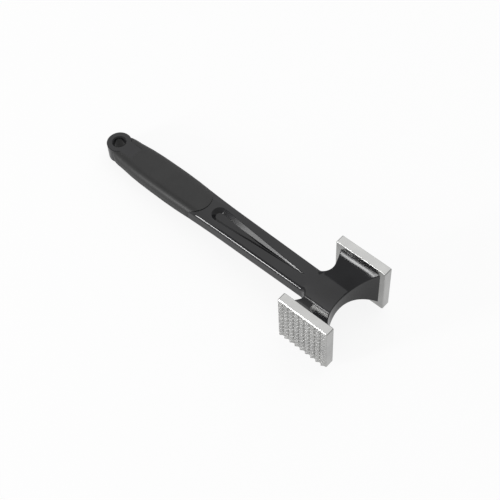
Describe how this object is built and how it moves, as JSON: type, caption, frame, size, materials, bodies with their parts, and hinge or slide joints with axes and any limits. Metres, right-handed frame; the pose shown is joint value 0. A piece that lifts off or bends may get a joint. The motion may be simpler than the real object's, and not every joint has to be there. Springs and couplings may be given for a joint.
{
  "type": "meat mallet",
  "caption": "Two-faced meat mallet: a toothed and a smooth cast plate on a waisted head, with a recessed neck, a soft tapered grip and a hanging eye.",
  "frame": {"origin": "centre of the hanging eye's bore, half-way through the handle's thickness", "axes": "+X along the handle from the hanging eye to the head, +Y to the smooth plate and -Y to the toothed plate, +Z along the hanging bore"},
  "size_m": [0.2795, 0.0822, 0.051],
  "materials": {
    "cast_aluminium": "fine-cast, tumbled, satin",
    "black_nylon": "glossy moulded black nylon",
    "soft_grip": "matt black thermoplastic elastomer"
  },
  "bodies": {
    "root": {"tooth_plate": "cast_aluminium", "smooth_plate": "cast_aluminium", "frame": "black_nylon", "grip": "soft_grip"}
  },
  "joints": []
}
